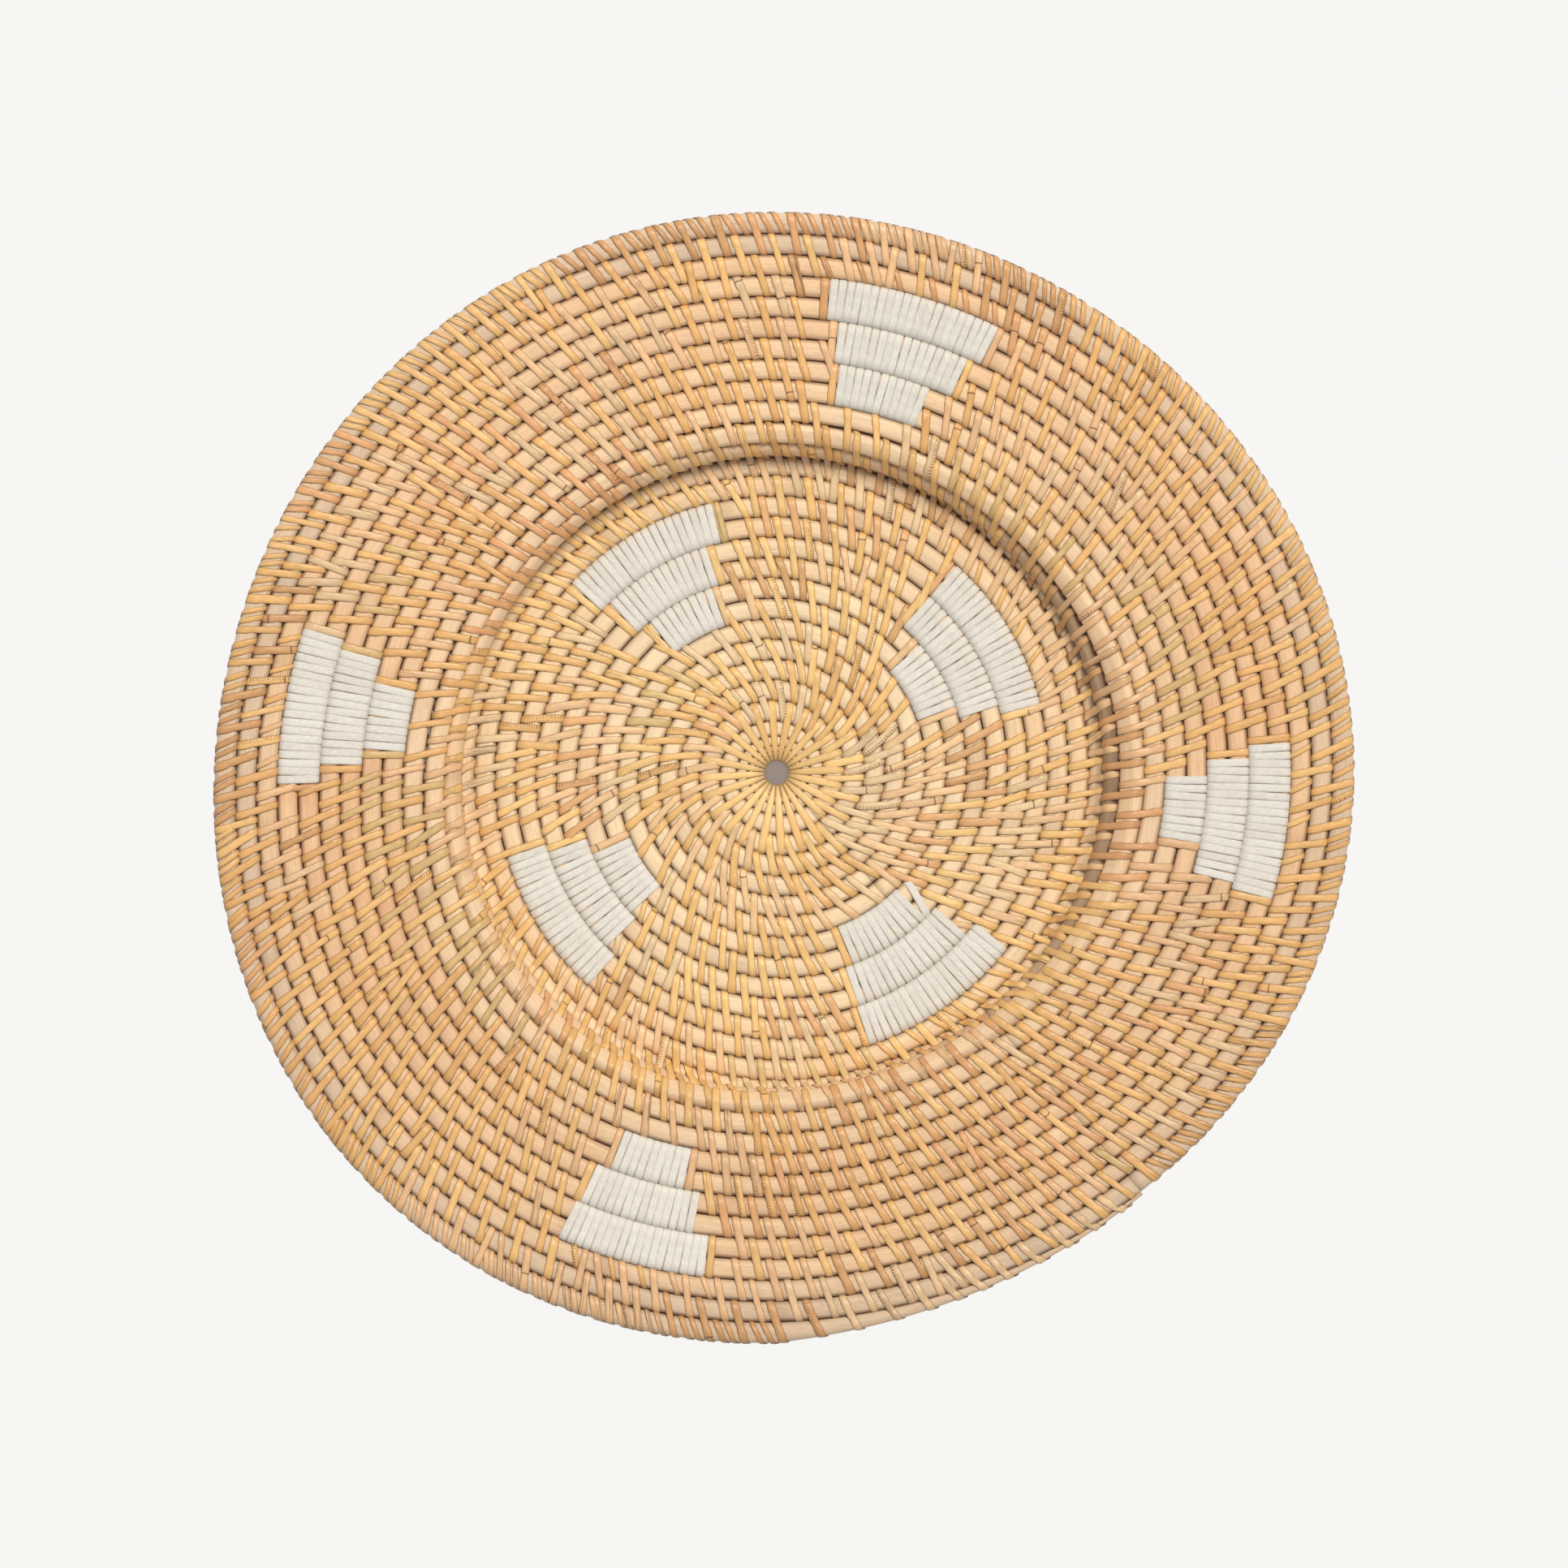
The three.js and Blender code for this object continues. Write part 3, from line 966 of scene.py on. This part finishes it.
def placeStitches():
    # A row's stitches start between the outer ends of the row before. The widest gaps get two.
    random = np.random.default_rng(7)
    outer = (np.arange(cane["centreStrips"]) + 0.5) / cane["centreStrips"]
    inner = np.zeros(0)
    used = 0
    leanTurns, leanAngles = zip(*cane["lean"])
    reach, counts = zip(*cane["perTurn"])
    while inner.max(initial=0) < spiral["tailTurn"] - 1:
        gaps = np.diff(outer[used:])
        middles = outer[used:-1] + gaps * cane["follow"]
        used += len(middles)
        wanted = len(middles) * np.median(gaps * np.interp(coreAt(middles)[0], reach, counts))
        extra = min(max(0, int(round(wanted)) - len(middles)), len(middles) // 3)
        order = np.argsort(-gaps * random.uniform(0.9, 1.1, len(gaps)))
        split = np.zeros(len(gaps), bool)
        for candidate in order:
            near = split[max(0, candidate - 2):candidate + 3]
            if split.sum() < extra and not near.any():
                split[candidate] = True
        fresh = np.sort(np.concatenate([
            middles[~split],
            middles[split] - gaps[split] * cane["splitBack"],
            middles[split] + gaps[split] * cane["splitOn"],
        ]))
        lead = inner[-3:]
        evened = np.concatenate([lead, fresh])
        between = (np.roll(evened, 1) + np.roll(evened, -1)) / 2
        first = max(1, len(lead))
        evened[first:-1] += cane["evening"] * (between - evened)[first:-1]
        evened = evened[len(lead):]
        length = turnLength(fresh)
        degrees = np.interp(fresh, leanTurns, leanAngles)
        degrees = degrees + cane["leanSpread"] * wander(fresh * length, 55.0, 31)
        lean = pitchOf(fresh + 1) * np.tan(np.radians(degrees)) / length
        noise = random.normal(0, cane["jitter"], len(fresh)) / length
        ends = np.maximum(evened + lean + noise, fresh + 0.2 * lean)
        inner = np.concatenate([inner, fresh])
        outer = np.concatenate([outer, ends + 1])
    ends = outer[cane["centreStrips"]:] - 1
    return [(inner[np.floor(inner) == row], ends[np.floor(inner) == row])
            for row in range(spiral["tailTurn"] - 1)]


def pickColours(random, count):  # neighbouring stitches often come from one long strip
    codes, weights = zip(*cane["colours"])
    colours = [linearColour(code) for code in codes]
    weights = np.array(weights)
    picked, streaks = [], []
    while len(picked) < count:
        run = int(random.integers(*cane["runs"]))
        colour = colours[random.choice(len(colours), p=weights / weights.sum())]
        streak = random.uniform(0.4, 1.0) if random.random() < cane["streakChance"] else 0.0
        for _ in range(run):
            picked.append(colour * random.uniform(0.93, 1.06))
            streaks.append(streak)
    return np.array(picked[:count]), np.array(streaks[:count])


def buildStrips(row, turn, share, angle, along, width, colours, streaks, random, sag):
    line, outward = layStrip(turn, share, angle, cane["lift"], sag)
    count = len(turn)
    free = (row + 2 == spiral["tailTurn"]) & (share > 0.5) & (np.abs(angle) < np.pi / 2)
    pressed = cane["squeeze"] * np.where(free, 0.2, 1) * np.abs(np.cos(angle)) ** 4
    thick = cane["thickness"] * random.uniform(0.88, 1.1, (count, 1)) * (1 - pressed)
    points = ribbon(line, outward, width, thick, cane["section"], closed=False)
    shape = points.shape[:3]
    side = np.array(cane["section"])[:, 0]
    seed = random.uniform(0, 400, (count, 1, 1))
    grain = grainOf(along[:, None] + seed, side * width[..., None] / 2, seed, shape)
    deep = smooth(np.abs(np.cos(angle)) * ((share == 0) | (share == 1)), 0.8, 1.0)
    edge = 1 - cane["edgeShade"] * np.abs(side) ** 10
    low, high = cane["wallRows"]
    tuckShade = cane["tuckShade"] * (cane["wallTuck"] if low <= row <= high else 1)
    colours = colours * toneAt(turn[:, 0])
    tint = colours[:, None, None] * ((1 - tuckShade * deep)[:, None] * edge)[None, ..., None]
    tint = withAlpha(tint, shape)
    marked = random.random((count, 1, 1)) < cane["nodeChance"]
    nodePlace = np.where(marked, seed + random.uniform(2, 17, (count, 1, 1)), noNode) * np.ones(shape)
    streak = streaks[:, None, None] * np.ones(shape)
    scar = np.where(random.random((count, 1, 1)) < cane["scarChance"], 1.0, 0.0) * np.ones(shape)
    return points, {"grain": grain, "tint": tint, "nodePlace": nodePlace, "streak": streak, "scar": scar}


def joinParts(parts):
    points = [part[0].reshape(-1, 3) for part in parts]
    faces, offset = [], 0
    for block, values in parts:
        for group in sweepFaces(block, closed=False):
            faces.append(group + offset)
        offset += block.shape[0] * block.shape[1] * block.shape[2]
    values = {}
    for key in parts[0][1]:
        whole = [part[1][key] for part in parts]
        flat = [v.reshape(-1, v.shape[-1]) if v.ndim == 4 else v.reshape(-1) for v in whole]
        values[key] = np.concatenate(flat)
    return np.concatenate(points), faces, values


def settleBesideBands(row, fresh, ends):
    # The stitch next to a band of cord on the same two turns lies close against its end.
    fresh, ends = fresh.copy(), ends.copy()
    for _, middle, wraps, spacing in bands:
        if row != int(np.floor(middle)):
            continue
        room = cane["besideBand"] / turnLength(middle)
        for side in (-1, 1):
            edge = middle + side * (wraps * spacing / 2 + room)
            beyond = np.where((fresh - edge) * side > -0.4 * spacing, np.abs(fresh - edge), 9)
            nearest = int(np.argmin(beyond))
            if beyond[nearest] * turnLength(middle) < cane["besideReach"]:
                fresh[nearest] = edge
                ends[nearest] = edge + 0.3 / turnLength(middle)
    return fresh, ends


def stitchParts(fresh, ends, random):
    length = turnLength(fresh)
    spacing = np.median(np.diff(fresh)) * length
    share, angle, along = pairRoute(route["stitchSteps"], closed=False)[:3]
    inner, top, outer = route["stitchSteps"][:3]
    zero = np.interp(-90, -np.degrees(angle[:inner]), along[:inner])  # over the top of the inner turn
    crest = along[inner + top + outer // 2]  # the far side of the outer turn
    slope = (ends - fresh) * length / route["space"]
    rest = (spacing - slope * crest) / (along[-1] - crest)
    shift = slope[:, None] * (np.minimum(along, crest) - zero)
    shift = shift + rest[:, None] * np.maximum(0, along - crest)
    turn = fresh[:, None] + shift / length[:, None]
    low, high = cane["widthRange"]
    width = np.clip(random.normal(cane["width"], cane["widthSpread"], (len(fresh), 1)), low, high)
    narrow = 1 - 0.16 * (np.abs(np.cos(angle)) ** 2) - 0.05 * (4 * share * (1 - share))
    narrow = narrow + 0.1 * (share > 0.99) * (angle > 0) * np.sin(2 * angle)  # splayed as it bends down
    width = width * narrow * (1 + 0.02 * wander(along[None] + fresh[:, None] * 1000, 4.0, 41))
    return turn, share, angle, along, width


def singleParts(at, random):
    share, angle, along = singleRoute()
    length = turnLength(at + 1)
    start = route["singleAngles"][0]
    top, bottom = [route["halfWidth"] * math.radians(start - degrees) for degrees in (90, -90)]
    shift = cane["singleLean"] * (np.minimum(along, bottom) - top) + 0.05 * np.maximum(0, along - bottom)
    turn = at[:, None] + shift / length[:, None]
    width = np.clip(random.normal(cane["singleWidth"], 0.2, (len(at), 1)), 1.5, 2.6) * np.ones(len(share))
    return turn, share, angle, along, width


def makeRow(row, fresh, ends):
    random = np.random.default_rng(900 + row)
    length = turnLength(fresh)
    colours, streaks = pickColours(random, len(fresh))
    fresh, ends = settleBesideBands(row, fresh, ends)
    innerCovered = inBand(fresh, 1.0)
    outerCovered = inBand(ends + 1, 1.0)
    tailEnd = ends + 1 > spiral["tailTurn"] - 3.0 / length
    parts = []
    full = ~innerCovered & ~outerCovered & ~tailEnd
    if full.any():
        turn, share, angle, along, width = stitchParts(fresh, ends, random)
        parts.append(buildStrips(row, turn[full], share, angle, along, width[full],
                                 colours[full], streaks[full], random, cane["sag"]))
    alone = innerCovered & ~outerCovered
    singles, singleColours, singleStreaks = ends[alone], colours[alone], streaks[alone]
    if row + 2 == spiral["tailTurn"]:
        for part in cane["edgeWraps"]:
            noise = random.normal(0, cane["edgeJitter"], len(ends) - 1) / length[:-1]
            between = ends[:-1] * (1 - part) + ends[1:] * part + noise
            fits = (between + 1 < spiral["tailFrom"]) & ~inBand(between + 1, 1.5)
            singles = np.concatenate([singles, between[fits]])
            singleColours = np.concatenate([singleColours, colours[:-1][fits] * 0.97])
            singleStreaks = np.concatenate([singleStreaks, streaks[:-1][fits]])
    if len(singles):
        turn, share, angle, along, width = singleParts(singles, random)
        parts.append(buildStrips(row, turn, share, angle, along, width,
                                 singleColours, singleStreaks, random, 0))
    points, faces, values = joinParts(parts)
    addPiece(f"cane_row_{row + 1:02d}", points, faces, caneSkin, values)
    return sum(len(part[0]) for part in parts)


stitchCount = 0
for row, (fresh, ends) in enumerate(placeStitches()):
    stitchCount += makeRow(row, fresh, ends)
print(f"{stitchCount} stitches are sewn")

# cane strips through the centre hole, lengths in mm

centre = {
    "holeRadius": 4.72,
    "lift": 0.04,
    "jitter": 0.03,
    "widths": ((4.72, 1.24), (8.0, 2.05), (12.0, 2.65), (22.0, 3.0)),  # radius and strip width in mm
    "thickness": 0.42,
}


def makeCentreStrips():
    random = np.random.default_rng(60)
    count = cane["centreStrips"]
    at = (np.arange(count) + 0.5) / count
    lines = []
    for turn in at:
        # the height of the top surface at each radius along this bearing
        levels = turn + np.arange(-spiral["startTurns"], 1)
        levels = levels[levels > -spiral["startTurns"]]
        radii, heights = coreMiddle(levels)
        tops = heights + core["halfHeight"] * heightShare(levels)
        inside = np.linspace(centre["holeRadius"] + 0.5, radii[-1], 12)
        topLine = [(r, np.interp(r, radii, tops) + centre["lift"]) for r in inside]
        half = tops[-1] - heights[-1]
        angle = np.radians(np.linspace(72, 0, 6))
        reach = halfWidthAt(turn)
        bend = [(radii[-1] + reach * math.cos(a), heights[-1] + half * math.sin(a)) for a in angle]
        innerTop = np.interp(centre["holeRadius"], radii, tops)
        hole = [(centre["holeRadius"], heights[0] + (innerTop - heights[0]) * s) for s in (0.0, 0.55)]
        hole += [(centre["holeRadius"] + 0.16, innerTop - 0.1)]
        upper = hole + topLine + bend
        lower = [(r, 2 * spiral["midHeight"] - z) for r, z in reversed(upper)][1:-1]
        lines.append(upper + lower)
    lines = np.array(lines)
    turn = at[:, None] + random.normal(0, centre["jitter"], (count, 1)) / count * np.ones(lines.shape[1])
    middle = place(turn, lines[..., 0], lines[..., 1])
    step = np.roll(lines, -1, axis=1) - np.roll(lines, 1, axis=1)
    step /= np.linalg.norm(step, axis=-1, keepdims=True)
    tip = place(turn, lines[..., 0] - step[..., 1], lines[..., 1] + step[..., 0])
    width = np.interp(lines[..., 0], *zip(*centre["widths"]))
    width = width * random.uniform(0.92, 1.04, (count, 1))
    thick = centre["thickness"] * np.ones_like(width)
    points = ribbon(middle, tip - middle, width, thick, cane["section"], closed=True)
    shape = points.shape[:3]
    colours, streaks = pickColours(random, count)
    side = np.array(cane["section"])[:, 0]
    along = np.concatenate([[0], np.cumsum(np.linalg.norm(np.diff(lines[0], axis=0), axis=1))])
    seed = random.uniform(0, 400, (count, 1, 1))
    grain = grainOf(along[:, None] + seed, side * width[..., None] / 2, seed, shape)
    # The strips darken toward the centre hole, and painted shade darkens both edges of each strip.
    holeDarkening = np.interp(lines[..., 0], (centre["holeRadius"], 9.0), (0.6, 1.0))[..., None, None]
    tint = colours[:, None, None] * holeDarkening * (1 - 0.3 * np.abs(side) ** 5)[None, None, :, None]
    tint = withAlpha(tint, shape)
    values = {
        "grain": grain, "tint": tint,
        "nodePlace": np.full(shape, noNode), "streak": streaks[:, None, None] * np.ones(shape),
        "scar": np.zeros(shape),
    }
    addPiece("centre_strips", points, sweepFaces(points, closed=True), caneSkin, values,
             ["centre_binding"])


makeCentreStrips()
print("the centre is bound")
